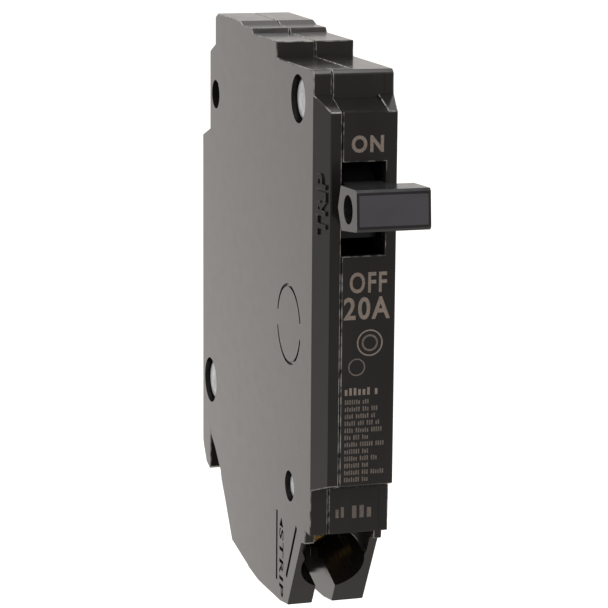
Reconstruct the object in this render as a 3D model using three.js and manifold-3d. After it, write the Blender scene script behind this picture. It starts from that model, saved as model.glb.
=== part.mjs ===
// Half-inch plug-in circuit breaker: two moulded half shells, a toggle mechanism,
// a thermal and magnetic trip, an arc chute, a bus jaw and a tunnel wire lug.
//
// Design frame, in millimetres: X across the 12.7 mm module, Y from the front plate (0)
// back to the panel, Z up, from the lower edge of the front plate (0) to the ON end.
// The whole model is shifted at the end so that the row frame starts at the rail slot.

import * as THREE from "three";
import { mergeVertices } from "three/addons/utils/BufferGeometryUtils.js";
import Module from "manifold-3d";

const wasm = await Module();
wasm.setup();

// ---- driving dimensions ----------------------------------------------------------------

const HALF = 6.35;              // half of the standard half-inch module
const WALL = 1.4;               // side wall of each shell
const INSIDE = HALF - WALL;     // half width of the cavity
const SEAM = 0.08;              // each shell stops this far short of the parting plane
const GAP = 0.3;                // clearance between separate pieces
const BACK = 65.5;              // front plate to rear face
const TOP = 76.2;               // lower edge of the front plate to the highest step
const RAIL_SLOT = [60.2, 2.1];  // rear wall and top of the slot that hooks on the panel rail

const FACE = -5.3;              // raised front section stands this far proud
const FACE_TOP = 66.5;
const FACE_LOW = 9.15;
const FACE_EDGE = 5.2;          // half width of the raised face, after its side bevels
const FRONT_SPLIT = -3.4;       // in front, the shells part here
const SPLIT_DEPTH = 2.5;        // how deep the front panel of the base reaches over

const WINDOW = { left: -3.4, right: 3.44, low: 44.8, high: 59.0 };

const HANDLE_AT = [4, 52];      // handle pivot
const HANDLE_TILT = 4.75;       // degrees above square at rest, the tripped place
const DRUM_R = 6.0;
const DRUM_HALF = 3.1;
const HEAD_HALF = 5.65;
const TIE_R = 2.15;

const ARM_PIVOT = [5, -1.5];    // contact arm pivot on the handle, before the tilt
const ARM_REACH = 31;           // arm pivot to moving contact
const CONTACT_GAP = 3.0;
const CONTACT_R = 2.0;
const CONTACT_T = 1.1;

const CRADLE_AT = [17, 38];
const CRADLE_REACH = 20.9;
const CRADLE_REST = 7;          // degrees above square, tripped

const SCREW_AT = [17.2, -3.94]; // front of the wire screw's head
const SCREW_TILT = 18.7;        // the screw looks down towards the wire end
const FUNNEL_R = 5.2;
const FUNNEL_X = -0.2;
const FUNNEL_MOUTH = -19.5;     // start of the funnel, before the screw's head
const LEDGE_STEP = 3.8;         // the ledge over the face is lower left of here

const TAPER = Math.atan2(HALF - FACE_EDGE, -FACE);   // side bevel of the raised section

// ---- colours -----------------------------------------------------------------------------

const FINISHES = {
  moulding: [0x2b2a2b, 0.42, 0.0],
  handle: [0x343338, 0.38, 0.0],
  zinc: [0xc9ced2, 0.3, 1.0],
  copper: [0xb4693f, 0.35, 1.0],
  silver: [0xd8d8d4, 0.3, 1.0],
  steel: [0x8f9294, 0.4, 1.0],
  brass: [0xc08a2e, 0.35, 1.0],
  fibre: [0x8a7f6c, 0.85, 0.0],
};

// ---- shape helpers -----------------------------------------------------------------------

const rad = THREE.MathUtils.degToRad;

function turned([y, z], degrees) {
  const a = rad(degrees);
  return [y * Math.cos(a) - z * Math.sin(a), y * Math.sin(a) + z * Math.cos(a)];
}

function arc(centre, r, from, to, steps) {
  return Array.from({ length: steps + 1 }, (_, i) => {
    const a = rad(from + ((to - from) * i) / steps);
    return [centre[0] + r * Math.cos(a), centre[1] + r * Math.sin(a)];
  });
}

function shapeOf(points, holes = []) {
  const shape = new THREE.Shape(points.map(([a, b]) => new THREE.Vector2(a, b)));
  for (const hole of holes) {
    shape.holes.push(new THREE.Path(hole.map(([a, b]) => new THREE.Vector2(a, b))));
  }
  return shape;
}

function extrude(shape, length) {
  return new THREE.ExtrudeGeometry(shape, { depth: length, bevelEnabled: false, steps: 1 });
}

// A side profile in (Y, Z), from x0 to x1 across the module.
function slab(points, x0, x1, holes = []) {
  const geometry = extrude(shapeOf(points, holes), x1 - x0);
  const basis = new THREE.Matrix4().makeBasis(
    new THREE.Vector3(0, 1, 0), new THREE.Vector3(0, 0, 1), new THREE.Vector3(1, 0, 0));
  return geometry.applyMatrix4(basis).translate(x0, 0, 0);
}

// A plan profile in (X, Y), from z0 to z1.
function plan(points, z0, z1) {
  return extrude(shapeOf(points), z1 - z0).translate(0, 0, z0);
}

function box(x0, x1, y0, y1, z0, z1) {
  const geometry = new THREE.BoxGeometry(x1 - x0, y1 - y0, z1 - z0);
  return geometry.translate((x0 + x1) / 2, (y0 + y1) / 2, (z0 + z1) / 2);
}

// A front view in (X, Z), from y0 to y1.
function front(points, y0, y1) {
  const basis = new THREE.Matrix4().makeBasis(
    new THREE.Vector3(1, 0, 0), new THREE.Vector3(0, 0, 1), new THREE.Vector3(0, -1, 0));
  return extrude(shapeOf(points), y1 - y0).applyMatrix4(basis).translate(0, y1, 0);
}

// A cylinder along X, at (y, z).
function rodX(r, x0, x1, [y, z], sides = 24) {
  const geometry = new THREE.CylinderGeometry(r, r, x1 - x0, sides).rotateZ(Math.PI / 2);
  return geometry.translate((x0 + x1) / 2, y, z);
}

function rodY(r, y0, y1, x, z, sides = 24) {
  return new THREE.CylinderGeometry(r, r, y1 - y0, sides).translate(x, (y0 + y1) / 2, z);
}

function rodZ(r, z0, z1, x, y, sides = 24) {
  const geometry = new THREE.CylinderGeometry(r, r, z1 - z0, sides).rotateX(Math.PI / 2);
  return geometry.translate(x, y, (z0 + z1) / 2);
}

function solid(geometry) {
  const bare = geometry.clone();
  bare.deleteAttribute("normal");
  bare.deleteAttribute("uv");
  const merged = mergeVertices(bare, 1e-4);
  return new wasm.Manifold(new wasm.Mesh({
    numProp: 3,
    vertProperties: new Float32Array(merged.attributes.position.array),
    triVerts: new Uint32Array(merged.index.array),
  }));
}

function surface(body) {
  const { vertProperties, triVerts } = body.getMesh();
  const geometry = new THREE.BufferGeometry();
  geometry.setAttribute("position", new THREE.BufferAttribute(vertProperties, 3));
  geometry.setIndex(new THREE.BufferAttribute(triVerts, 1));
  return geometry;
}

function join(first, ...others) {
  return others.reduce((sum, g) => sum.add(solid(g)), solid(first));
}

function cut(body, ...cutters) {
  return cutters.reduce((rest, g) => rest.subtract(solid(g)), body);
}

const breaker = new THREE.Group();

function piece(name, geometry, finish, parent = breaker) {
  const [color, roughness, metalness] = FINISHES[finish];
  const material = new THREE.MeshStandardMaterial({ color, roughness, metalness });
  const mesh = new THREE.Mesh(geometry.isBufferGeometry ? geometry : surface(geometry), material);
  mesh.name = name;
  parent.add(mesh);
  return mesh;
}

// ---- case --------------------------------------------------------------------------------

const OUTLINE = [
  [0, 0], [2.6, 0], [2.9, -2.1], [4.6, -2.4],                     // under the front plate
  [11.9, -14.9], [16.2, -15.6], [28, -16.1], [35.4, -15.5], [45.7, -14],   // wire end
  [50.7, -7.6], [52.8, -5.1], [53.4, -3.3], [54.1, -3],           // up to the rail slot
  [57.2, -0.3], [59.3, 1], RAIL_SLOT, [60.3, -4.6], [61, -5.1],   // slot and hook
  [63.1, -4.4], [64.5, -2.5], [BACK, -0.5],
  [BACK, 54.3], [60.5, 56], [60.5, 69.4], [57, 70.9], [57, 75.5], // rear, stepped for the bus
  [55.4, TOP], [41.4, TOP - 0.1], [39.6, 75.5], [34.3, 75.5],     // stepped top
  [33.7, 74.7], [19.9, 74.7], [19.8, 72.2], [0.7, 72.2], [0, 71.6],
  [0, 68.5], [FACE, FACE_TOP], [FACE, FACE_LOW], [0, 7.2],        // raised front section
];

const CAVITY = [
  [1.6, 4.6], [23, 4.6], [27, 1.8], [35.2, 1.8], [35.2, -14], [44.4, -12.4], [50.4, -5.2], [53, -1.1], [56.2, 2],
  [57.9, 3.6], [63.9, 3.8], [63.9, 53], [59, 54.8], [59, 68.4], [55.5, 69.9], [55.5, 74.6],
  [40.9, 74.4], [34, 74], [33, 73.2], [21.4, 73.2], [21.3, 70.7], [1.6, 70.7],
];

const POSTS = [
  { name: "rivet_top", at: [7.9, 67.1], recess: 3.75, head: 3.25 },
  { name: "rivet_rear", at: [60.1, 11.3], recess: 3.95, head: 3.4 },
  { name: "rivet_front", at: [11.2, 5.05], recess: 2.48, head: 2.15 },
];
const RECESS_DEPTH = 2.1;
const SHANK_R = 1.2;
const POCKET = { at: [56.75, 62.3], r: 2.45, depth: 2.0 };

// Places a shape made along the screw's own axis: Y in, Z across, from the head's front.
function alongScrew(geometry) {
  return geometry.rotateX(rad(SCREW_TILT)).translate(0, SCREW_AT[0], SCREW_AT[1]);
}

function sideBevel(side) {
  const cutter = box(0, 4, -12, 0, FACE_LOW - 8, FACE_TOP + 8);
  if (side < 0) cutter.translate(-4, 0, 0);
  return cutter.rotateZ(-side * TAPER).translate(side * HALF, 0, 0);
}

// The screwdriver's funnel, its mouth under the front plate, the lug's room and the wire slot.
function wireEnd() {
  const mouth = [
    [-5.9, -2.5], [-5.9, -4.05], [-4.87, -6.3], [4.7, -6.3], [5, -5], [5, -0.4], [-4.7, -0.4],
    [-4.7, -2.5],
  ];
  return [
    alongScrew(rodY(FUNNEL_R, FUNNEL_MOUTH, 4.4, FUNNEL_X, 0, 48)),
    front(mouth, 2.4, 8),
    alongScrew(box(-INSIDE, INSIDE, 4.2, 16.4, -5.1, 7)),
    box(-2.25, 1.05, 2, 28, -20, -8.2),
    box(-2.9, 1.9, 23.6, 30.2, -20, -5),
    box(-4.4, -2.2, 16.5, 31.5, -20, -8.2),
  ];
}

// The middle of the ledge over the face lies half a millimetre lower than its two ends.
function lowLedge() {
  return slab([[FACE - 0.7, 66.3], [0, 68], [0, 69], [FACE - 0.7, 69]], FRONT_SPLIT - 1, LEDGE_STEP);
}

function cavity() {
  return [
    slab(CAVITY, -INSIDE, INSIDE),
    box(FRONT_SPLIT - 0.5, 3.9, FACE + 1.7, 2, 11, 64.5),
    box(-2.2, 2.2, 58, 62, 57.6, 68.4),                        // bus stab slot
    box(WINDOW.left - SEAM, WINDOW.right, FACE - 1, FACE + 2, WINDOW.low, WINDOW.high),
  ];
}

// What stands inside each shell: rivet posts, pockets, handle bosses and the screw rib.
function shellParts(side) {
  const inner = (r, depth, at) => {
    const ends = [side * (INSIDE + 0.2), side * depth].sort((a, b) => a - b);
    return rodX(r, ends[0], ends[1], at);
  };
  const rib = [side * (INSIDE + 0.2), side * SEAM].sort((a, b) => a - b);
  return [
    ...POSTS.map((post) => inner(post.recess + 1.05, SEAM, post.at)),
    inner(POCKET.r + 0.8, HALF - POCKET.depth - 0.5, POCKET.at),
    inner(3.3, 3.7, HANDLE_AT),
    box(rib[0], rib[1], 45.5, 51.5, -1.5, 1.5),
  ];
}

function shellHoles(side) {
  const outer = (r, depth, at, sides) => {
    const ends = [side * (HALF + 1), side * (HALF - depth)].sort((a, b) => a - b);
    return rodX(r, ends[0], ends[1], at, sides);
  };
  const trunnion = [side * 3, side * (INSIDE - 0.15)].sort((a, b) => a - b);
  return [
    ...POSTS.map((post) => outer(post.recess, RECESS_DEPTH, post.at, 32)),
    ...POSTS.map((post) => rodX(SHANK_R + GAP, -HALF, HALF, post.at, 16)),
    outer(POCKET.r, POCKET.depth, POCKET.at, 28),
    rodX(1.8, trunnion[0], trunnion[1], HANDLE_AT, 20),
    rodZ(1.9, -3, 3, 0, 48.5, 16),
  ];
}

function coverShell() {
  const blank = solid(slab(OUTLINE, -HALF, -SEAM));
  const front = box(FRONT_SPLIT - SEAM, 1, -8, SPLIT_DEPTH + SEAM, -1, 80);
  const hollow = cut(blank, front, ...cavity(), sideBevel(-1));
  const fitted = shellParts(-1).reduce((sum, g) => sum.add(solid(g)), hollow);
  const pinned = fitted.add(solid(rodX(1.6, -INSIDE - 0.2, -1.6, CRADLE_AT, 20)));
  return cut(pinned, ...shellHoles(-1), ...wireEnd());
}

function baseShell() {
  const panel = slab(OUTLINE, FRONT_SPLIT + SEAM, SEAM + 0.1);
  const face = solid(panel).intersect(solid(box(-5, 1, -8, SPLIT_DEPTH - SEAM, 0, 80)));
  const blank = solid(slab(OUTLINE, SEAM, HALF)).add(face);
  const hollow = cut(blank, ...cavity(), sideBevel(1), lowLedge());
  const fitted = shellParts(1).reduce((sum, g) => sum.add(solid(g)), hollow);
  return cut(fitted, ...shellHoles(1), ...wireEnd());
}

// A shank with a flat, low-crowned head at each end, turned about X.
function rivet({ at, head }) {
  const seat = HALF - RECESS_DEPTH + 0.1;
  const headEnd = [
    [head, seat], [head, seat + 0.85], [0.9 * head, seat + 1.1], [0.55 * head, seat + 1.3],
    [0, seat + 1.38],
  ];
  const profile = [
    ...headEnd.map(([r, x]) => [r, -x]).reverse(), [SHANK_R, -seat], [SHANK_R, seat], ...headEnd,
  ];
  const points = profile.map(([r, x]) => new THREE.Vector2(r, x));
  return new THREE.LatheGeometry(points, 28).rotateZ(-Math.PI / 2).translate(0, at[0], at[1]);
}

// ---- handle and contact arm --------------------------------------------------------------

const handleGroup = new THREE.Group();
handleGroup.position.set(0, HANDLE_AT[0], HANDLE_AT[1]);
handleGroup.rotation.x = -rad(HANDLE_TILT);

function handle() {
  const upper = [[-16.5, 2.7], [-9.3, 3.2], [-5.4, 3.35], [-4.5, 4.2]];
  const lower = [[-5.4, -5.5], [-5.4, -3.8], [-9.3, -3.5], [-16.5, -2.7]];
  const drum = slab([...upper, ...arc([0, 0], DRUM_R, 135.5, -113.5, 22), ...lower].reverse(),
    -DRUM_HALF, DRUM_HALF);
  const head = slab([
    [-14.4, 0], [-15.9, -3.3], [-22.9, -3.05], [-23.35, -2.65], [-23.35, 2.65], [-22.9, 3.05],
    [-15.9, 3.3],
  ], -HEAD_HALF, HEAD_HALF);
  const whole = join(drum, head, rodX(1.5, -4.5, 4.5, [0, 0], 20));
  return cut(whole,
    rodX(TIE_R, -8, 8, [-19.25, 0], 28),
    box(-1.3, 1.3, 2.6, 7, -7, 7),
    rodX(0.7 + GAP, -4, 4, ARM_PIVOT, 14));
}

const armSwing = turned(ARM_PIVOT, -HANDLE_TILT);
const ARM_AT = [HANDLE_AT[0] + armSwing[0], HANDLE_AT[1] + armSwing[1]];
const PAD_LOW = ARM_AT[1] + 0.9 + GAP;
const FIXED_LOW = PAD_LOW + CONTACT_T + CONTACT_GAP;
const CONTACT_Y = ARM_AT[0] + ARM_REACH;

function contactArm() {
  const outline = [
    ...arc([0, 0], 2, 100, 260, 8),
    [6, -2.4], [20, -3.2], [30, -2.4], [33.6, -1.4], [33.6, 0.9], [28, 0.9], [20, 0.2], [8, 1.4],
  ].map(([y, z]) => [y + ARM_AT[0], z + ARM_AT[1]]);
  return slab(outline, -0.9, 0.9, [arc(ARM_AT, 0.7 + GAP, 0, 337.5, 15)]);
}

// ---- springs and braid ---------------------------------------------------------------------

class Coil extends THREE.Curve {
  constructor(start, end, r, turns) {
    super();
    Object.assign(this, { start, end, r, turns });
    const along = end.clone().sub(start).normalize();
    this.side = new THREE.Vector3(1, 0, 0);
    this.up = along.clone().cross(this.side).normalize();
  }

  getPoint(t, target = new THREE.Vector3()) {
    const a = 2 * Math.PI * this.turns * t;
    return target.copy(this.start).lerp(this.end, t)
      .addScaledVector(this.side, this.r * Math.cos(a))
      .addScaledVector(this.up, this.r * Math.sin(a));
  }
}

function wire(curve, r, steps, sides) {
  const section = shapeOf(arc([0, 0], r, 0, 360 - 360 / sides, sides - 1));
  return new THREE.ExtrudeGeometry(section, { steps, extrudePath: curve, bevelEnabled: false });
}

function coil(start, end, r, turns, wireR) {
  const curve = new Coil(new THREE.Vector3(...start), new THREE.Vector3(...end), r, turns);
  return wire(curve, wireR, turns * 9, 5);
}

const BRAID = [
  [2.3, 22, 48], [2.6, 24.5, 45], [2.8, 29, 42.5], [2.8, 35, 42], [2.6, 40, 40.5],
  [1.8, 42.6, 37], [1.4, 42.7, 33.5],
];

function braid() {
  const route = new THREE.CatmullRomCurve3(BRAID.map((p) => new THREE.Vector3(...p)));
  return wire(route, 0.95, 26, 8);
}

// ---- trip unit -----------------------------------------------------------------------------

const FOOT = [44.4, 8];         // bimetal flexes from here
const STRAP_TOP = 7.67;
const CALIBRATION_Y = 48.5;

function cradle() {
  const outline = [
    ...arc([0, 0], 3.1, 70, 250, 10),
    [4, -3], [12, -2.9], [18.4, -1.2], [CRADLE_REACH, -0.8], [CRADLE_REACH, 0.8],
    [17, 1.7], [8, 2.3], [6.4, 4.6], [4.4, 4.6], [3.6, 2.6],
  ];
  const placed = outline.map((p) => turned(p, CRADLE_REST))
    .map(([y, z]) => [y + CRADLE_AT[0], z + CRADLE_AT[1]]);
  return slab(placed, -3.2, -2, [arc(CRADLE_AT, 1.6 + GAP, 0, 345, 23)]);
}

function bimetal() {
  return join(
    box(-2.2, 2.2, FOOT[0] - 0.4, FOOT[0] + 0.4, STRAP_TOP + GAP, 37),
    box(-2.2, 2.2, FOOT[0] - 0.4, FOOT[0] + 2.6, STRAP_TOP + GAP, STRAP_TOP + GAP + 0.8));
}

function magnetYoke() {
  const leg = [[38.2, 10.8], [47.6, 10.8], [47.6, 26], [41.2, 26], [41.2, 14], [39.8, 11.8], [38.2, 11.8]];
  return join(
    slab(leg, -4.5, -3.5), slab(leg, 3.5, 4.5),
    box(-4.5, 4.5, 46.6, 47.6, 12, 26));
}

function armature() {
  const plate = solid(box(-4.4, 3.2, 38.4, 39.4, 12.1, 37.8));
  const latchWindow = box(-3.6, -1.6, 38, 40, 32.8, 36.2);
  const besideBraid = box(0.1, 4, 38, 40, 30, 38.5);
  return cut(plate, latchWindow, besideBraid, rodY(0.9, 38, 40, 1, 18, 12));
}

function loadStrap() {
  const at = (v, w) => {
    const [y, z] = turned([v, w], SCREW_TILT);
    return [y + SCREW_AT[0], z + SCREW_AT[1]];
  };
  const outline = [
    at(13.1, -3.8), at(14.3, -3.8), [28.8, 6.47], [50.6, 6.47], [50.6, STRAP_TOP],
    [27.1, STRAP_TOP],
  ];
  return slab(outline, -2.4, 2.4);
}

function calibrationScrew() {
  const top = 6.47 - GAP;
  const body = join(
    rodZ(1.6, -2.6, top, 0, CALIBRATION_Y, 18),
    rodZ(2.5, -4.2, -2.4, 0, CALIBRATION_Y, 24));
  return cut(body, box(-3, 3, CALIBRATION_Y - 0.35, CALIBRATION_Y + 0.35, -5, -3.4));
}

// ---- wire lug ------------------------------------------------------------------------------

const lugGroup = new THREE.Group();
lugGroup.position.set(0, SCREW_AT[0], SCREW_AT[1]);
lugGroup.rotation.x = rad(SCREW_TILT);
const SCREW_R = 2.1;
const LUG_X = -0.3;

function terminalLug() {
  const frame = join(box(-4.3, 4.3, 4.7, 15.9, -4.6, 4.6));
  return cut(frame, box(-3.3, 3.3, 6.7, 14.7, -6, 6), rodY(SCREW_R + GAP, 4, 7, LUG_X, 0, 24));
}

function terminalScrew() {
  const profile = [
    [0, 0], [2.6, 0], [3.4, 0.6], [3.4, 2.4], [SCREW_R, 2.4], [SCREW_R, 8.6], [1.6, 9.2], [0, 9.2],
  ].map(([r, y]) => new THREE.Vector2(r, y));
  const body = solid(new THREE.LatheGeometry(profile, 28).translate(LUG_X, 0, 0));
  return cut(body, box(-5, 5, -1, 1, -0.45, 0.45));
}

function wireSaddle() {
  return box(-2.9, 2.9, 9.5, 10.7, -3.6, 3.6);
}

// ---- line side and arc chute ---------------------------------------------------------------

// A sprung U of sheet metal: two leaves from a web, pinched, then flared at the mouth.
function springClip({ root, pinch, mouth, thick, web, pinchY, mouthY, z0, z1 }) {
  const leaf = [[root, web + thick], [pinch, pinchY], [mouth, mouthY]];
  const outer = [[root + thick, web], ...leaf.slice(1).map(([x, y]) => [x + thick, y])];
  const mirror = (points) => points.map(([x, y]) => [-x, y]).reverse();
  return plan([...outer, ...[...leaf].reverse(), ...mirror([...leaf].reverse()), ...mirror(outer)],
    z0, z1);
}

function lineStrap() {
  const low = FIXED_LOW + CONTACT_T + GAP;
  return slab([
    [36.5, low], [44.1, low], [44.1, 66.5], [42.9, 66.5], [42.9, low + 1.2], [36.5, low + 1.2],
  ], -2.3, 2.3);
}

function arcPlate(z) {
  return plan([
    [-4.2, 44.8], [-2.2, 44.8], [-1.7, 47.8], [1.7, 47.8], [2.2, 44.8], [4.2, 44.8],
    [4.2, 56.5], [-4.2, 56.5],
  ], z, z + 1);
}

// ---- assembly ------------------------------------------------------------------------------

piece("cover_shell", coverShell(), "moulding");
piece("base_shell", baseShell(), "moulding");
for (const post of POSTS) piece(post.name, rivet(post), "zinc");

breaker.add(handleGroup);
piece("handle", handle(), "handle", handleGroup);
piece("arm_pin", rodX(0.7, -2.8, 2.8, ARM_PIVOT, 12), "steel", handleGroup);
piece("contact_arm", contactArm(), "copper");
piece("moving_contact", rodZ(CONTACT_R, PAD_LOW, PAD_LOW + CONTACT_T, 0, CONTACT_Y, 20), "silver");
piece("fixed_contact", rodZ(CONTACT_R + 0.3, FIXED_LOW, FIXED_LOW + CONTACT_T, 0, CONTACT_Y, 20),
  "silver");
piece("line_strap", lineStrap(), "copper");
piece("bus_jaw", springClip({
  root: 1.7, pinch: 0.9, mouth: 1.9, thick: 0.8, web: 45.2, pinchY: 52, mouthY: 55.6,
  z0: 58.6, z1: 67.4,
}), "copper");
piece("jaw_spring", springClip({
  root: 2.8, pinch: 2.05, mouth: 2.5, thick: 0.5, web: 44.4, pinchY: 52.2, mouthY: 54,
  z0: 60, z1: 66,
}), "steel");

piece("cradle", cradle(), "steel");
piece("toggle_spring", coil([-1.6, 32.5, ARM_AT[1] - 4.9], [-1.6, 22.6, 44.6], 0.95, 9, 0.22), "steel");
piece("bimetal", bimetal(), "brass");
piece("magnet_yoke", magnetYoke(), "steel");
piece("armature", armature(), "steel");
piece("armature_spring", coil([0, 39.9, 24], [0, 43.5, 24], 0.95, 4, 0.2), "steel");
piece("flexible_braid", braid(), "copper");
piece("load_strap", loadStrap(), "copper");
piece("calibration_screw", calibrationScrew(), "brass");

breaker.add(lugGroup);
piece("terminal_lug", terminalLug(), "brass", lugGroup);
piece("terminal_screw", terminalScrew(), "brass", lugGroup);
piece("wire_saddle", wireSaddle(), "brass", lugGroup);

const ARC_PLATES = 5;
for (let i = 0; i < ARC_PLATES; i += 1) {
  piece(`arc_plate_${i + 1}`, arcPlate(41.2 + 2.7 * i), "steel");
}
piece("arc_side_left", box(-4.85, -4.45, 44.8, 56.5, 40.4, 54), "fibre");
piece("arc_side_right", box(4.45, 4.85, 44.8, 56.5, 40.4, 54), "fibre");
piece("vent_baffle", box(-4.2, 4.2, 58, 58.9, 41, 52.8), "fibre");

breaker.position.set(0, -RAIL_SLOT[0], -RAIL_SLOT[1]);
export default breaker;
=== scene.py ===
"""Looks of the half-inch plug-in circuit breaker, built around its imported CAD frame."""
import math
import random

import bmesh
import bpy
from mathutils import Matrix, Vector
from mathutils.bvhtree import BVHTree


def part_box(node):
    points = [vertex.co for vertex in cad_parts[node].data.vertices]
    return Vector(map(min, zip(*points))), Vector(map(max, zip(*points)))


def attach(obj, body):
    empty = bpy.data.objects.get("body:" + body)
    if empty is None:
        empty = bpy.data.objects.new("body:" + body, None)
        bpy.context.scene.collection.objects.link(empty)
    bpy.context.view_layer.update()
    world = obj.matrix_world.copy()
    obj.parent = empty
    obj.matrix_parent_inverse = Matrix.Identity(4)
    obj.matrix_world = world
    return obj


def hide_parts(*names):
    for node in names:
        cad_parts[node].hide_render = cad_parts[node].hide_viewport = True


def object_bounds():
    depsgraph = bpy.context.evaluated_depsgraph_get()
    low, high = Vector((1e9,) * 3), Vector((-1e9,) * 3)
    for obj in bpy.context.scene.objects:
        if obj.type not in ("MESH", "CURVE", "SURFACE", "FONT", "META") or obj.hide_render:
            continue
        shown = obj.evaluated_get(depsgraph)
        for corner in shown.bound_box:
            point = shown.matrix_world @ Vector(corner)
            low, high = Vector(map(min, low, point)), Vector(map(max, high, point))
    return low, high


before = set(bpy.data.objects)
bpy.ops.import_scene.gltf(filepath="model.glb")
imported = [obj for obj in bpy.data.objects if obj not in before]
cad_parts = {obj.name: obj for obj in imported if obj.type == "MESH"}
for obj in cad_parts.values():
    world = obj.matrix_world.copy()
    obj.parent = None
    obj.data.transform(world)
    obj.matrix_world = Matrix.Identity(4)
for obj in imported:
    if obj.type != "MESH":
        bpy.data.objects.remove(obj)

MM = 0.001
CAD_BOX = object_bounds()
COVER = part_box("cover_shell")

# Dimensions shared with the CAD source, in millimetres. X runs across the module, Y back from
# the front plate and Z up from the plate's lower edge.
HALF = 6.35             # half of the module's width
RAISED = 5.3            # how far the raised front section stands proud of the plate
TOP = 76.2              # height of the highest step
FACE_EDGE = 5.2         # half width of the raised face
PLATE_TOP = 71.6        # upper edge of the plate
LEDGE_TOP = 68.5        # upper edge of the raised section where it leaves the plate
LEDGE_LOW = 7.2         # and its lower edge

ORIGIN = Vector((0, COVER[0].y + RAISED * MM, COVER[1].z - TOP * MM))


def at(x, y, z):
    """A point of the design, in millimetres, as a place in the row frame, in metres."""
    return ORIGIN + Vector((x, y, z)) * MM


# ---- camera ---------------------------------------------------------------------------------

AIM_SHIFT = Vector((-0.4, 0.5, 1.75))       # from the middle of the CAD box to the aim, in mm
AZIMUTH, ELEVATION, ROLL = -16.99, 11.46, 0.45      # degrees
DISTANCE = 399.3        # from the aim, in mm
LENS, SENSOR = 146.0, 36.0      # focal length and sensor width, in mm


def make_camera():
    low, high = CAD_BOX
    aim = (low + high) / 2 + AIM_SHIFT * MM
    azimuth, elevation, roll = map(math.radians, (AZIMUTH, ELEVATION, ROLL))
    back = Vector((math.sin(azimuth) * math.cos(elevation),
                   -math.cos(azimuth) * math.cos(elevation), math.sin(elevation)))
    data = bpy.data.cameras.new("camera")
    data.lens = LENS
    data.sensor_width = SENSOR
    data.clip_start, data.clip_end = 0.01, 20.0
    camera = bpy.data.objects.new("camera", data)
    bpy.context.scene.collection.objects.link(camera)
    turn = (-back).to_track_quat("-Z", "Y").to_matrix() @ Matrix.Rotation(roll, 3, "Z")
    camera.matrix_world = Matrix.Translation(aim + back * (DISTANCE * MM)) @ turn.to_4x4()
    bpy.context.scene.camera = camera


# ---- materials ------------------------------------------------------------------------------

class Surface:
    """A Principled material whose colour, roughness and relief come from noise in object space."""

    def __init__(self, name):
        self.material = bpy.data.materials.new(name)
        self.material.use_nodes = True
        self.tree = self.material.node_tree
        self.shader = self.tree.nodes["Principled BSDF"]
        self.place = self.tree.nodes.new("ShaderNodeTexCoord").outputs["Object"]
        self.normal = None

    def link(self, source, target):
        self.tree.links.new(source, target)

    def noise(self, size, detail=3.0, stretch=(1, 1, 1), distortion=0.0):
        """Noise whose blobs are about size millimetres across, longer where stretch is above 1."""
        mapping = self.tree.nodes.new("ShaderNodeMapping")
        mapping.inputs["Scale"].default_value = [1 / (size * MM * s) for s in stretch]
        texture = self.tree.nodes.new("ShaderNodeTexNoise")
        texture.inputs["Scale"].default_value = 1.0
        texture.inputs["Detail"].default_value = detail
        texture.inputs["Distortion"].default_value = distortion
        self.link(self.place, mapping.inputs["Vector"])
        self.link(mapping.outputs["Vector"], texture.inputs["Vector"])
        return texture.outputs["Fac"]

    def attribute(self, name):
        """A number kept on the faces of the mesh; zero where the mesh has none."""
        node = self.tree.nodes.new("ShaderNodeAttribute")
        node.attribute_name = name
        return node.outputs["Fac"]

    def span(self, value, low, high, start=0.3, end=0.7):
        """value taken from start..end to low..high."""
        node = self.tree.nodes.new("ShaderNodeMapRange")
        ends = (("From Min", start), ("From Max", end), ("To Min", low), ("To Max", high))
        for socket, number in ends:
            node.inputs[socket].default_value = number
        self.link(value, node.inputs["Value"])
        return node.outputs["Result"]

    def blend(self, amount, first, second):
        """A mix of two colours, or of two values that other nodes give."""
        node = self.tree.nodes.new("ShaderNodeMix")
        node.data_type = "RGBA"
        self.link(amount, node.inputs["Factor"])
        colour_sockets = [s for s in node.inputs if s.type == "RGBA"]
        for socket, colour in zip(colour_sockets, (first, second)):
            if isinstance(colour, bpy.types.NodeSocket):
                self.link(colour, socket)
            else:
                socket.default_value = (*colour, 1)
        return next(s for s in node.outputs if s.type == "RGBA")

    def relief(self, height, depth, strength):
        """Bumps depth millimetres high, on top of the ones already there."""
        node = self.tree.nodes.new("ShaderNodeBump")
        node.inputs["Strength"].default_value = strength
        node.inputs["Distance"].default_value = depth * MM
        self.link(height, node.inputs["Height"])
        if self.normal:
            self.link(self.normal, node.inputs["Normal"])
        self.normal = node.outputs["Normal"]

    def finish(self, colour, roughness, metallic=0.0, ior=1.45):
        self.link(colour, self.shader.inputs["Base Color"])
        self.link(roughness, self.shader.inputs["Roughness"])
        self.shader.inputs["Metallic"].default_value = metallic
        self.shader.inputs["IOR"].default_value = ior
        if self.normal:
            self.link(self.normal, self.shader.inputs["Normal"])
        return self.material


RIM_WEAR_AND_HIGHLIGHT_DARK, RIM_WEAR_AND_HIGHLIGHT_PALE = (0.03, 0.029, 0.028), (0.22, 0.213, 0.206)      # rims of the moulding: partly wear, partly a painted highlight where the edges catch the light


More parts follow.
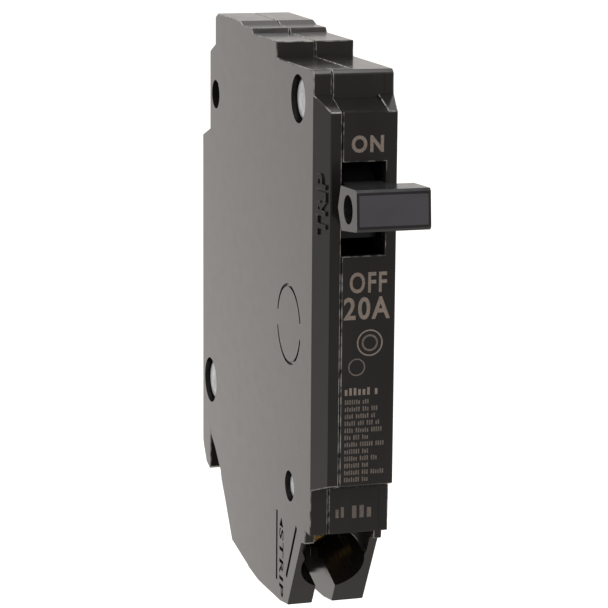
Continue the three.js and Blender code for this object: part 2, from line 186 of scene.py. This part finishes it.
def moulding(name, dark, light, rough, ior):
    """Moulded thermoset: a fine grain, faint flow marks, rubbed patches, and paler rims that are
    partly wear and partly a painted highlight where the edges catch the light.
    """
    surface = Surface(name)
    flow = surface.noise(9, detail=4, stretch=(1, 1, 2.6), distortion=0.6)
    rubbed = surface.noise(2.2, detail=5, stretch=(1, 1.6, 1))
    # Pale rims: partly wear, partly a painted highlight for edges that catch the light, broken up
    # in patches.
    patchiness = surface.span(surface.noise(1.3, detail=4), 0, 1, start=0.4, end=0.62)
    rim_wear_and_highlight = surface.blend(patchiness, RIM_WEAR_AND_HIGHLIGHT_DARK, RIM_WEAR_AND_HIGHLIGHT_PALE)
    body = surface.blend(surface.span(flow, 0, 1), dark, light)
    colour = surface.blend(surface.attribute("rim"), body, rim_wear_and_highlight)
    roughness = surface.span(rubbed, *rough, start=0.25, end=0.75)
    surface.relief(surface.noise(26, detail=2), depth=0.02, strength=0.3)
    surface.relief(surface.noise(0.16, detail=2), depth=0.0012, strength=0.5)
    return surface.finish(colour, roughness, ior=ior)


def toggle_plastic(name):
    """The handle: polished black sides, and a paler, frosted panel on the front of its head."""
    surface = Surface(name)
    flow = surface.span(surface.noise(7, detail=4, stretch=(1.8, 1, 1), distortion=0.5), 0, 1)
    panel = surface.attribute("panel")
    sides = surface.blend(flow, (0.0115, 0.0112, 0.012), (0.0175, 0.017, 0.018))
    frosted = surface.blend(flow, (0.043, 0.041, 0.047), (0.051, 0.049, 0.055))
    colour = surface.blend(panel, sides, frosted)
    rubbed = surface.noise(1.1, detail=5)
    roughness = surface.blend(panel, surface.span(rubbed, 0.13, 0.22),
                              surface.span(rubbed, 0.36, 0.46))
    surface.relief(surface.noise(0.14, detail=2), depth=0.0014, strength=0.5)
    return surface.finish(colour, roughness, ior=1.22)


def metal(name, dark, light, rough, grain, stretch=(1, 1, 1)):
    """Bare metal: drawn or rolled grain, and a duller tarnish in patches."""
    surface = Surface(name)
    lines = surface.noise(grain, stretch=stretch)
    tarnish = surface.noise(1.7, detail=4, distortion=0.4)
    colour = surface.blend(surface.span(tarnish, 0, 1), dark, light)
    roughness = surface.span(lines, *rough)
    surface.relief(lines, depth=0.006, strength=0.6)
    return surface.finish(colour, roughness, metallic=1.0)


def fibre(name):
    """Vulcanised fibre board: matted, matte and slightly mottled."""
    surface = Surface(name)
    mat = surface.noise(0.35, detail=5, stretch=(1, 1, 3))
    colour = surface.blend(surface.span(mat, 0, 1), (0.17, 0.13, 0.085), (0.27, 0.22, 0.15))
    surface.relief(mat, depth=0.02, strength=0.7)
    return surface.finish(colour, surface.span(mat, 0.8, 0.95))


def ink(name, dark, light):
    """Pad-printed ink: flat, faintly uneven."""
    surface = Surface(name)
    patchiness = surface.noise(0.3, detail=4)
    colour = surface.blend(surface.span(patchiness, 0, 1), dark, light)
    surface.relief(patchiness, depth=0.002, strength=0.4)
    return surface.finish(colour, surface.span(patchiness, 0.5, 0.65), ior=1.4)


def make_materials():
    """One material for each of the record's slots."""
    return {
        "case_moulding": moulding("case_moulding", (0.0085, 0.008, 0.008),
                                  (0.0125, 0.0117, 0.0112), rough=(0.12, 0.2), ior=1.29),
        "handle_moulding": toggle_plastic("handle_moulding"),
        "zinc_rivet": metal("zinc_rivet", (0.4, 0.42, 0.435), (0.6, 0.63, 0.65),
                            rough=(0.38, 0.56), grain=0.5),
        "steel": metal("steel", (0.28, 0.28, 0.29), (0.44, 0.44, 0.45),
                       rough=(0.3, 0.5), grain=0.12, stretch=(1, 6, 1)),
        "spring_wire": metal("spring_wire", (0.36, 0.36, 0.37), (0.55, 0.55, 0.56),
                             rough=(0.2, 0.36), grain=0.1),
        "copper": metal("copper", (0.42, 0.17, 0.09), (0.68, 0.33, 0.2),
                        rough=(0.26, 0.46), grain=0.12, stretch=(1, 1, 6)),
        "braid": metal("braid", (0.36, 0.15, 0.085), (0.62, 0.3, 0.18),
                       rough=(0.34, 0.55), grain=0.09),
        "silver": metal("silver", (0.55, 0.54, 0.51), (0.78, 0.77, 0.74),
                        rough=(0.25, 0.42), grain=0.2),
        "bimetal_strip": metal("bimetal_strip", (0.36, 0.33, 0.27), (0.55, 0.5, 0.41),
                               rough=(0.3, 0.46), grain=0.1, stretch=(1, 1, 7)),
        "brass": metal("brass", (0.46, 0.27, 0.07), (0.68, 0.44, 0.14),
                       rough=(0.22, 0.4), grain=0.15, stretch=(6, 1, 1)),
        "fibre": fibre("fibre"),
    }


NODES_OF_SLOT = {
    "zinc_rivet": ["rivet_top", "rivet_rear", "rivet_front"],
    "steel": ["arm_pin", "cradle", "magnet_yoke", "armature", "jaw_spring"]
    + [f"arc_plate_{i}" for i in range(1, 6)],
    "spring_wire": ["toggle_spring", "armature_spring"],
    "copper": ["contact_arm", "line_strap", "bus_jaw", "load_strap"],
    "braid": ["flexible_braid"],
    "silver": ["moving_contact", "fixed_contact"],
    "bimetal_strip": ["bimetal"],
    "brass": ["calibration_screw", "terminal_lug", "terminal_screw", "wire_saddle"],
    "fibre": ["arc_side_left", "arc_side_right", "vent_baffle"],
    "case_moulding": ["cover_shell", "base_shell"],
    "handle_moulding": ["handle"],
}


# ---- mesh helpers ---------------------------------------------------------------------------

FAINT = math.radians(0.6)       # faces that turn by less than this are one flat face
SHARP = math.radians(28)        # from here on an edge is real; below it, part of a curve
CREASED = math.radians(40)      # shading breaks at edges that turn by more than this
SAME_WAY = 0.99998              # cosine above which two normals are the same
FRONTWARD = 0.99                # and above which one points to the front


def new_object(name, data):
    piece = bpy.data.objects.new(name, data)
    bpy.context.scene.collection.objects.link(piece)
    return piece


def from_bmesh(name, bm):
    bmesh.ops.recalc_face_normals(bm, faces=bm.faces)
    mesh = bpy.data.meshes.new(name)
    bm.to_mesh(mesh)
    bm.free()
    return new_object(name, mesh)


def ring_faces(bm, first, second):
    """Joins two closed rings of the same number of vertices."""
    for i in range(len(first)):
        j = (i + 1) % len(first)
        bm.faces.new((first[i], first[j], second[j], second[i]))


def prism(name, outline, x0, x1):
    """A closed (Y, Z) outline in millimetres, from x0 to x1 across the module."""
    bm = bmesh.new()
    rings = [[bm.verts.new(at(x, y, z)) for y, z in outline] for x in (x0, x1)]
    for ring in rings:
        bm.faces.new(ring)
    ring_faces(bm, *rings)
    return from_bmesh(name, bm)


def block(name, x, y, z):
    return prism(name, [(y[0], z[0]), (y[1], z[0]), (y[1], z[1]), (y[0], z[1])], *x)


def stroke(points, width):
    """The outline of a line of that width drawn through points."""
    left, right = [], []
    for i, (y, z) in enumerate(points):
        before, after = points[max(i - 1, 0)], points[min(i + 1, len(points) - 1)]
        along = Vector((after[0] - before[0], after[1] - before[1])).normalized()
        left.append((y - along.y * width / 2, z + along.x * width / 2))
        right.append((y + along.y * width / 2, z - along.x * width / 2))
    return left + right[::-1]


def arc(centre, radius, start, end, steps):
    turns = [math.radians(start + (end - start) * i / steps) for i in range(steps + 1)]
    return [(centre[0] + radius * math.cos(a), centre[1] + radius * math.sin(a)) for a in turns]


def baked_mesh(piece):
    """The piece's mesh with its modifiers applied."""
    bpy.context.view_layer.update()
    evaluated = piece.evaluated_get(bpy.context.evaluated_depsgraph_get())
    return bpy.data.meshes.new_from_object(evaluated)


def apply_modifiers(piece):
    mesh = baked_mesh(piece)
    piece.modifiers.clear()
    piece.data = mesh


def copy_of(node, name):
    """The CAD node's mesh as a new object, welded, with flat regions as single faces."""
    bm = bmesh.new()
    bm.from_mesh(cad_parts[node].data)
    bmesh.ops.remove_doubles(bm, verts=bm.verts, dist=2e-6)
    bmesh.ops.dissolve_limit(bm, angle_limit=FAINT, verts=bm.verts, edges=bm.edges)
    piece = from_bmesh(name, bm)
    stale = piece.data.attributes.get("custom_normal")
    if stale:
        piece.data.attributes.remove(stale)
    return piece


def cut(piece, cutters):
    """Takes the cutters' shapes out of the piece."""
    for cutter in cutters:
        modifier = piece.modifiers.new("cut", "BOOLEAN")
        modifier.operation = "DIFFERENCE"
        modifier.solver = "EXACT"
        modifier.object = cutter
    apply_modifiers(piece)
    for cutter in cutters:
        bpy.data.objects.remove(cutter)


def mark_faces(piece, name, chosen):
    """Keeps a 1 on the chosen polygons and a 0 on the others, for the materials to read."""
    values = piece.data.attributes.new(name, "FLOAT", "FACE").data
    for value, polygon in zip(values, piece.data.polygons):
        value.value = float(chosen(polygon))


def width_of(mesh, polygon):
    """How wide a polygon is, if it is a strip."""
    corners = [mesh.vertices[i].co for i in polygon.vertices]
    around = sum((a - b).length for a, b in zip(corners, corners[1:] + corners[:1]))
    return 2 * polygon.area / around


def planes_of(piece):
    """The normals of the flat faces: the large ones, and those without a gently turned edge."""
    large = 5 * MM * MM
    bm = bmesh.new()
    bm.from_mesh(piece.data)
    bm.normal_update()
    flat = {tuple(round(c, 4) for c in face.normal) for face in bm.faces
            if face.calc_area() > large
            or not any(FAINT < edge.calc_face_angle(0) < SHARP for edge in face.edges)}
    bm.free()
    return [Vector(normal) for normal in flat]


def on_plane(normal, planes):
    return any(normal.dot(plane) > SAME_WAY for plane in planes)


def weigh_outer_edges(piece, planes):
    """Gives a bevel weight to the convex edges between planes that can be seen from outside."""
    shortest, clear = 0.3 * MM, 0.03 * MM
    bm = bmesh.new()
    bm.from_mesh(piece.data)
    bm.normal_update()
    tree = BVHTree.FromBMesh(bm)
    weight = bm.edges.layers.float.new("bevel_weight_edge")
    for edge in bm.edges:
        if len(edge.link_faces) != 2 or not edge.is_convex or edge.calc_length() < shortest:
            continue
        normals = [face.normal for face in edge.link_faces]
        if edge.calc_face_angle() < SHARP or not all(on_plane(n, planes) for n in normals):
            continue
        out = (normals[0] + normals[1]).normalized()
        middle = (edge.verts[0].co + edge.verts[1].co) / 2
        if tree.ray_cast(middle + out * clear, out)[0] is None:
            edge[weight] = 1.0
    bm.to_mesh(piece.data)
    bm.free()


def soften(piece, width, segments, planes, outer_only=False):
    """Rounds the sharp edges by width millimetres, as a mould leaves them."""
    if outer_only:
        weigh_outer_edges(piece, planes)
    modifier = piece.modifiers.new("edges", "BEVEL")
    modifier.width = width * MM
    modifier.segments = segments
    modifier.limit_method = "WEIGHT" if outer_only else "ANGLE"
    modifier.angle_limit = SHARP
    modifier.miter_outer = "MITER_SHARP" if outer_only else "MITER_ARC"
    modifier.use_clamp_overlap = not outer_only
    apply_modifiers(piece)


def shade(piece, width, planes):
    """Flat shading on the planes, smooth between them, and a mark on the rounded rims."""
    narrow = 0.8 * width * MM
    level = [on_plane(polygon.normal, planes) for polygon in piece.data.polygons]
    mark_faces(piece, "rim", lambda p: not level[p.index] and width_of(piece.data, p) < narrow)
    # Sharp edges come first, because setting them resets the faces' own flags.
    piece.data.set_sharp_from_angle(angle=CREASED)
    for polygon in piece.data.polygons:
        polygon.use_smooth = not level[polygon.index]


def add_piece(piece, material, slot, body, *nodes):
    """Gives the piece its material, rides it on a body and lets it stand for nodes; slot is not
    used.
    """
    piece.data.materials.clear()
    piece.data.materials.append(material)
    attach(piece, body)
    if nodes:
        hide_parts(*nodes)


def lettering(name, words, corner, right, up, size, depth, bold, spacing=1.0):
    """Words in the built-in face, filling size (width, height) mm from their lower left corner.
    They stand from depth[0] to depth[1] mm out of the surface whose axes are right and up."""
    curve = bpy.data.curves.new(name, "FONT")
    curve.body = words
    curve.extrude = 0.5
    curve.offset = bold
    curve.space_character = spacing
    curve.resolution_u = 4
    draft = new_object(name + "_draft", curve)
    mesh = baked_mesh(draft)
    bpy.data.objects.remove(draft)
    points = [v.co.copy() for v in mesh.vertices]
    low = Vector([min(p[i] for p in points) for i in range(3)])
    drawn = Vector([max(p[i] for p in points) for i in range(3)]) - low
    right, up = Vector(right), Vector(up)
    out = right.cross(up)
    for vertex in mesh.vertices:
        share = [(vertex.co[i] - low[i]) / drawn[i] for i in range(3)]
        vertex.co = corner + (right * share[0] * size[0] + up * share[1] * size[1]
                              + out * (depth[0] + share[2] * (depth[1] - depth[0]))) * MM
    bm = bmesh.new()
    bm.from_mesh(mesh)
    bmesh.ops.remove_doubles(bm, verts=bm.verts, dist=1e-6)
    return from_bmesh(name, bm)


# ---- the case -------------------------------------------------------------------------------

RIM = 0.16              # rounding of the case's edges
CLEAR = 0.2             # how far cutters stand out of the face that they cut
ENGRAVED = 0.34         # depth of the marks on the side face

# Marks on the side face, as (Y, Z).
RING_AT, RING_RADIUS, RING_LINE = (12.2, 31.1), 6.2, 0.5
RING_STARTS, RING_TURN, RING_STEPS = (12, 192), 156, 30         # two arcs, in degrees
GAUGE_LINES = [(18.1, -0.8), (18.1, -12.5)], [(7.2, -0.6), (12.6, -10.4)]
GAUGE_WIDTH = 0.8
GAUGE_ARROW = [(16.6, -2.9), (15.6, -1.3), (14.5, -2.9)]
GAUGE_WORD_AT, GAUGE_WORD_SIZE = (16.6, -3.2), (11.4, 2.3)

CREASE_AT, CREASE_WIDTH, CREASE_DEPTH = 4.8, 0.1, 0.06      # a fine upright line on the plate
CREASE_GAP = 0.3        # between the crease and the raised section
CREASE_PAST = 1         # how far its cutters reach past the plate's ends

TRIP_Z, TRIP_SIZE = 47.7, (9.4, 2.8)
TRIP_SHARE = 0.8        # its baseline's place across the bevel, from the side face to the front
TRIP_DEPTH, TRIP_EDGE = (-0.3, 0.3), 0.07


def side_engravings():
    """Ring of two arcs, strip gauge and its word on the left side face."""
    depth = (-HALF - CLEAR, -HALF + ENGRAVED)
    arcs = [arc(RING_AT, RING_RADIUS, a, a + RING_TURN, RING_STEPS) for a in RING_STARTS]
    ring = [prism("ring", stroke(line, RING_LINE), *depth) for line in arcs]
    gauge = [prism("gauge", stroke(line, GAUGE_WIDTH), *depth) for line in GAUGE_LINES]
    arrow = prism("arrow", GAUGE_ARROW, *depth)
    word = lettering("word", "STRIP", at(-HALF, *GAUGE_WORD_AT), (0, 0, -1), (0, -1, 0),
                     GAUGE_WORD_SIZE, (-ENGRAVED, CLEAR), bold=0.02, spacing=1.1)
    return ring + gauge + [arrow, word]


def make_cover(finish):
    cover = copy_of("cover_shell", "case_cover")
    planes = planes_of(cover)
    soften(cover, RIM, 2, planes, outer_only=True)
    cut(cover, side_engravings())
    shade(cover, RIM, planes)
    add_piece(cover, finish, "case_moulding", "case", "cover_shell")


def make_base(finish):
    base = copy_of("base_shell", "case_base")
    across = (CREASE_AT - CREASE_WIDTH / 2, CREASE_AT + CREASE_WIDTH / 2)
    above = (LEDGE_TOP + CREASE_GAP, PLATE_TOP + CREASE_PAST)
    below = (-CREASE_PAST, LEDGE_LOW - CREASE_GAP)
    creases = [block("crease", across, (-CLEAR, CREASE_DEPTH), z) for z in (above, below)]
    planes = planes_of(base)
    soften(base, RIM, 2, planes, outer_only=True)
    cut(base, creases)
    shade(base, RIM, planes)
    add_piece(base, finish, "case_moulding", "case", "base_shell")


def make_trip_mark(finish):
    """TRIP in raised letters up the left bevel of the raised section."""
    slope = Vector((FACE_EDGE - HALF, RAISED, 0)).normalized()
    edge = Vector((-HALF, 0, 0)).lerp(Vector((-FACE_EDGE, -RAISED, 0)), TRIP_SHARE)
    mark = lettering("tripped_mark", "TRIP", at(edge.x, edge.y, TRIP_Z), (0, 0, 1), slope,
                     TRIP_SIZE, TRIP_DEPTH, bold=0.03)
    planes = planes_of(mark)
    soften(mark, TRIP_EDGE, 2, planes)
    shade(mark, TRIP_EDGE, planes)
    add_piece(mark, finish, "case_moulding", "case")


# ---- printing -------------------------------------------------------------------------------

INK = 0.012             # thickness of the ink, in mm
ROOT = 0.05             # how far a print reaches into the moulding

# Words on the raised face: X range, Z range, stroke offset and letter spacing.
WORDS = {
    "print_on": ("ON", (-2.0, 3.06), (60.4, 63.0), 0.035, 1.2),
    "print_off": ("OFF", (-2.06, 3.85), (39.1, 42.3), 0.02, 1.15),
    "print_rating": ("20A", (-2.96, 4.39), (35.0, 38.5), 0.022, 1.15),
}
# Plain rings: centre (X, Z), outer radius and width.
STRONG_RINGS = {"print_ring": ((1.25, 31.4), 2.05, 0.22)}
FAINT_RINGS = {"print_ring_inner": ((1.25, 31.4), 1.3, 0.3), "print_dot": ((-0.8, 27.7), 1.35, 0.2)}
RING_SIDES = 48

# Lines of bars: X range, lower edge, height, and step from bar to bar as a share of the height.
HEADING = (-2.64, 2.9), 23.35, 1.15, 0.62
PLATE_LINES = ((-2.2, -0.3), 2.6, 1.7, 0.5), ((0.5, 4.2), 2.4, 2.0, 0.6)
ROWS, ROW_TOP, ROW_PITCH, ROW_HEIGHT, ROW_STEP = 12, 21.95, 1.105, 0.72, 0.5
ROW_LEFT, ROW_ENDS = -2.6, (4.3, 3.9, 2.9, 1.6, 2.4, 3.4)
LETTERS = 3, 7          # fewest and most bars in a group
BAR_SHARE = 0.58        # a bar's width as a share of the step
BAR_HEIGHTS = 1, 1, 0.8         # drawn from, as shares of the line's height
WORD_GAP = 0.45         # extra room between groups, as a share of the height
PRINT_SEED = 11


def print_word(name, words, x, z, bold, spacing, finish):
    mark = lettering(name, words, at(x[0], -RAISED, z[0]), (1, 0, 0), (0, 0, 1),
                     (x[1] - x[0], z[1] - z[0]), (-ROOT, INK), bold, spacing)
    add_piece(mark, finish, "case_moulding", "case")


def print_bars(name, bars, finish, front=-RAISED):
    """Flat ink bars on the front: (x0, x1, z0, z1) each."""
    bm = bmesh.new()
    for x0, x1, z0, z1 in bars:
        v = [bm.verts.new(at(x, y, z)) for y in (front - INK, front + ROOT)
             for x, z in ((x0, z0), (x1, z0), (x1, z1), (x0, z1))]
        for face in ((0, 1, 2, 3), (7, 6, 5, 4), (0, 4, 5, 1), (1, 5, 6, 2), (2, 6, 7, 3),
                     (3, 7, 4, 0)):
            bm.faces.new([v[i] for i in face])
    add_piece(from_bmesh(name, bm), finish, "case_moulding", "case")


def line_of_bars(draw, x, low, height, step):
    """One line of plain bars, in groups as long as words, where print would be."""
    bars, left = [], x[0]
    while left < x[1] - height * step:
        for _ in range(draw.randint(*LETTERS)):
            if left + height * step > x[1]:
                break
            tall = height * draw.choice(BAR_HEIGHTS)
            bars.append((left, left + height * step * BAR_SHARE, low, low + tall))
            left += height * step
        left += height * WORD_GAP
    return bars


def print_ring(name, centre, radius, width, finish):
    """A plain printed ring on the raised face."""
    bm = bmesh.new()
    back, front = -RAISED + ROOT, -RAISED - INK
    inner = radius - width
    rings = [[bm.verts.new(at(centre[0] + r * math.cos(math.tau * i / RING_SIDES), y,
                              centre[1] + r * math.sin(math.tau * i / RING_SIDES)))
              for i in range(RING_SIDES)]
             for r, y in ((radius, back), (radius, front), (inner, front), (inner, back))]
    for first, second in zip(rings, rings[1:] + rings[:1]):
        ring_faces(bm, first, second)
    add_piece(from_bmesh(name, bm), finish, "case_moulding", "case")


def make_prints(strong, faint):
    for name, word in WORDS.items():
        print_word(name, *word, strong)
    for rings, finish in ((STRONG_RINGS, strong), (FAINT_RINGS, faint)):
        for name, ring in rings.items():
            print_ring(name, *ring, finish)
    draw = random.Random(PRINT_SEED)
    print_bars("print_heading", line_of_bars(draw, *HEADING), strong)
    rows = []
    for i in range(ROWS):
        across = (ROW_LEFT, draw.choice(ROW_ENDS))
        rows += line_of_bars(draw, across, ROW_TOP - ROW_PITCH * i, ROW_HEIGHT, ROW_STEP)
    print_bars("print_rows", rows, faint)
    plate = [bar for line in PLATE_LINES for bar in line_of_bars(draw, *line)]
    print_bars("print_plate", plate, faint, front=0.0)


# ---- rivets and handle ----------------------------------------------------------------------

RIVET_PROUD = 0.2       # how much nearer the case's side a head's tip stands than in the CAD
RIVET_SIDES = 56
RIVET_CREASED = math.radians(50)        # shading breaks at edges that turn by more than this
HEAD_HEIGHT = 1.38      # from the seat to the tip
HEAD_WALL = 0.6         # its straight part
HEAD_ROUND, HEAD_RISE = 0.34, 0.42      # the rounded rim, in and up
RIM_START, RIM_END, RIM_STEPS = 15, 75, 4       # the part of its quarter turn that is drawn
HEAD_CROWN = ((0.8, 1.14), (0.5, 1.27), (0.2, 1.36))    # shares of the radius, and heights
SHANK = 1.2             # the shank's radius

PANEL_INSET = 0.4       # margin round the frosted panel
HANDLE_EDGE = 0.24      # rounding of the handle's edges


def rivet_profile(reach, head):
    """(radius, X) from the left tip to the right one, without the tips themselves."""
    seat = reach - HEAD_HEIGHT
    end = [(head, seat), (head, seat + HEAD_WALL)]
    end += [(head - HEAD_ROUND + HEAD_ROUND * c, seat + HEAD_WALL + HEAD_RISE * n)
            for c, n in arc((0, 0), 1, RIM_START, RIM_END, RIM_STEPS)]
    end += [(head * share, seat + height) for share, height in HEAD_CROWN]
    return [(r, -x) for r, x in end[::-1]] + [(SHANK, -seat), (SHANK, seat)] + end


def make_rivets(finish):
    """Rivets with flat, low-crowned heads and a rounded rim, below the faces of the case."""
    for node in ("rivet_top", "rivet_rear", "rivet_front"):
        low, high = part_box(node)
        centre, size = (low + high) / 2, (high - low) / MM
        reach = size.x / 2 + RIVET_PROUD
        bm = bmesh.new()
        turns = [math.tau * i / RIVET_SIDES for i in range(RIVET_SIDES)]
        rings = [[bm.verts.new(centre + Vector((x, r * math.cos(a), r * math.sin(a))) * MM)
                  for a in turns] for r, x in rivet_profile(reach, size.z / 2)]
        for first, second in zip(rings, rings[1:]):
            ring_faces(bm, first, second)
        for ring, x in ((rings[0], -reach), (rings[-1], reach)):
            tip = bm.verts.new(centre + Vector((x, 0, 0)) * MM)
            for a, b in zip(ring, ring[1:] + ring[:1]):
                bm.faces.new((a, b, tip))
        piece = from_bmesh(node + "_turned", bm)
        for polygon in piece.data.polygons:
            polygon.use_smooth = True
        piece.data.set_sharp_from_angle(angle=RIVET_CREASED)
        add_piece(piece, finish, "zinc_rivet", "case", node)


def make_handle(finish):
    """The handle with rounded edges, and the largest face of its front marked as the panel."""
    handle = copy_of("handle", "toggle_handle")
    bm = bmesh.new()
    bm.from_mesh(handle.data)
    bm.normal_update()
    front = max((f for f in bm.faces if f.normal.y < -FRONTWARD), key=lambda f: f.calc_area())
    bmesh.ops.inset_region(bm, faces=[front], thickness=PANEL_INSET * MM, use_even_offset=True)
    bm.to_mesh(handle.data)
    bm.free()
    planes = planes_of(handle)
    soften(handle, HANDLE_EDGE, 3, planes)
    shade(handle, HANDLE_EDGE, planes)
    panel = max((p for p in handle.data.polygons if p.normal.y < -FRONTWARD),
                key=lambda p: p.area)
    mark_faces(handle, "panel", lambda polygon: polygon.index == panel.index)
    add_piece(handle, finish, "handle_moulding", "handle", "handle")


# ---- surroundings ---------------------------------------------------------------------------

FLOOR_DROP = 100        # the part hangs on its rail this many millimetres above the floor
FLOOR_RADIUS = 4.0      # metres
FLOOR_PAINTED_SHADE, FLOOR_WHITE = (0.5, 0.49, 0.48), (0.93, 0.92, 0.91)
SHADE_START, SHADE_END = -0.17, 0.12    # metres to the right and back, from the painted grey shade to white
SHADE_SLANT = 0.55      # how much of the way back counts

HORIZON, SKY = 0.8, 1.4         # brightness of the surroundings at eye level and overhead
SKY_START, SKY_END = 0.12, 0.6  # heights of the view's direction that it changes between
WARM_WHITE = (1, 0.965, 0.935, 1)

SOFTBOX_AT, SOFTBOX_AIM = Vector((0.06, -0.1, 0.6)), Vector((0, -0.04, 0.03))
SOFTBOX_SIDE, SOFTBOX_POWER = 0.25, 1.6         # metres and watts


def make_floor():
    """A pale floor with painted shade: white behind the part, fading to a painted grey to the left
    and in front, as where the light falls off.
    """
    bm = bmesh.new()
    bmesh.ops.create_circle(bm, cap_ends=True, radius=FLOOR_RADIUS, segments=96)
    floor = from_bmesh("floor", bm)
    floor.location.z = CAD_BOX[0].z - FLOOR_DROP * MM
    surface = Surface("pale_floor")
    place = surface.tree.nodes.new("ShaderNodeSeparateXYZ")
    surface.link(surface.place, place.inputs["Vector"])
    across = surface.tree.nodes.new("ShaderNodeMath")
    across.operation = "MULTIPLY_ADD"
    surface.link(place.outputs["Y"], across.inputs[0])
    across.inputs[1].default_value = SHADE_SLANT
    surface.link(place.outputs["X"], across.inputs[2])
    # Painted light falloff: the floor's colour goes from the painted grey shade to white along this
    # slanted line.
    painted_light_falloff = surface.span(across.outputs[0], 0, 1, start=SHADE_START, end=SHADE_END)
    cloud = surface.noise(60, detail=2)
    colour = surface.blend(painted_light_falloff, FLOOR_PAINTED_SHADE, FLOOR_WHITE)
    floor.data.materials.append(surface.finish(colour, surface.span(cloud, 0.85, 0.95)))


def make_light():
    """White surroundings, a little brighter overhead, and one softbox that lights the edges."""
    world = bpy.data.worlds.new("studio")
    world.use_nodes = True
    nodes, link = world.node_tree.nodes, world.node_tree.links.new
    place = nodes.new("ShaderNodeTexCoord")
    axes = nodes.new("ShaderNodeSeparateXYZ")
    height = nodes.new("ShaderNodeMapRange")
    height.interpolation_type = "SMOOTHSTEP"
    ends = (("From Min", SKY_START), ("From Max", SKY_END), ("To Min", HORIZON), ("To Max", SKY))
    for socket, number in ends:
        height.inputs[socket].default_value = number
    link(place.outputs["Generated"], axes.inputs["Vector"])
    link(axes.outputs["Z"], height.inputs["Value"])
    background = nodes["Background"]
    background.inputs["Color"].default_value = WARM_WHITE
    link(height.outputs["Result"], background.inputs["Strength"])
    bpy.context.scene.world = world
    bpy.context.scene.view_settings.view_transform = "Standard"
    data = bpy.data.lights.new("overhead", "AREA")
    data.shape = "RECTANGLE"
    data.size = data.size_y = SOFTBOX_SIDE
    data.energy = SOFTBOX_POWER
    softbox = new_object("overhead", data)
    softbox.location = SOFTBOX_AT
    softbox.rotation_mode = "QUATERNION"
    softbox.rotation_quaternion = (SOFTBOX_AIM - SOFTBOX_AT).to_track_quat("-Z", "Y")


# ---- assembly -------------------------------------------------------------------------------

make_camera()
make_light()
make_floor()
finishes = make_materials()
for slot_name, nodes in NODES_OF_SLOT.items():
    for node in nodes:
        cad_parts[node].data.materials.clear()
        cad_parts[node].data.materials.append(finishes[slot_name])
make_cover(finishes["case_moulding"])
make_base(finishes["case_moulding"])
make_trip_mark(finishes["case_moulding"])
make_prints(ink("print_ink", (0.13, 0.105, 0.088), (0.19, 0.155, 0.13)),
            ink("faint_print_ink", (0.06, 0.05, 0.042), (0.125, 0.103, 0.088)))
make_handle(finishes["handle_moulding"])
make_rivets(finishes["zinc_rivet"])
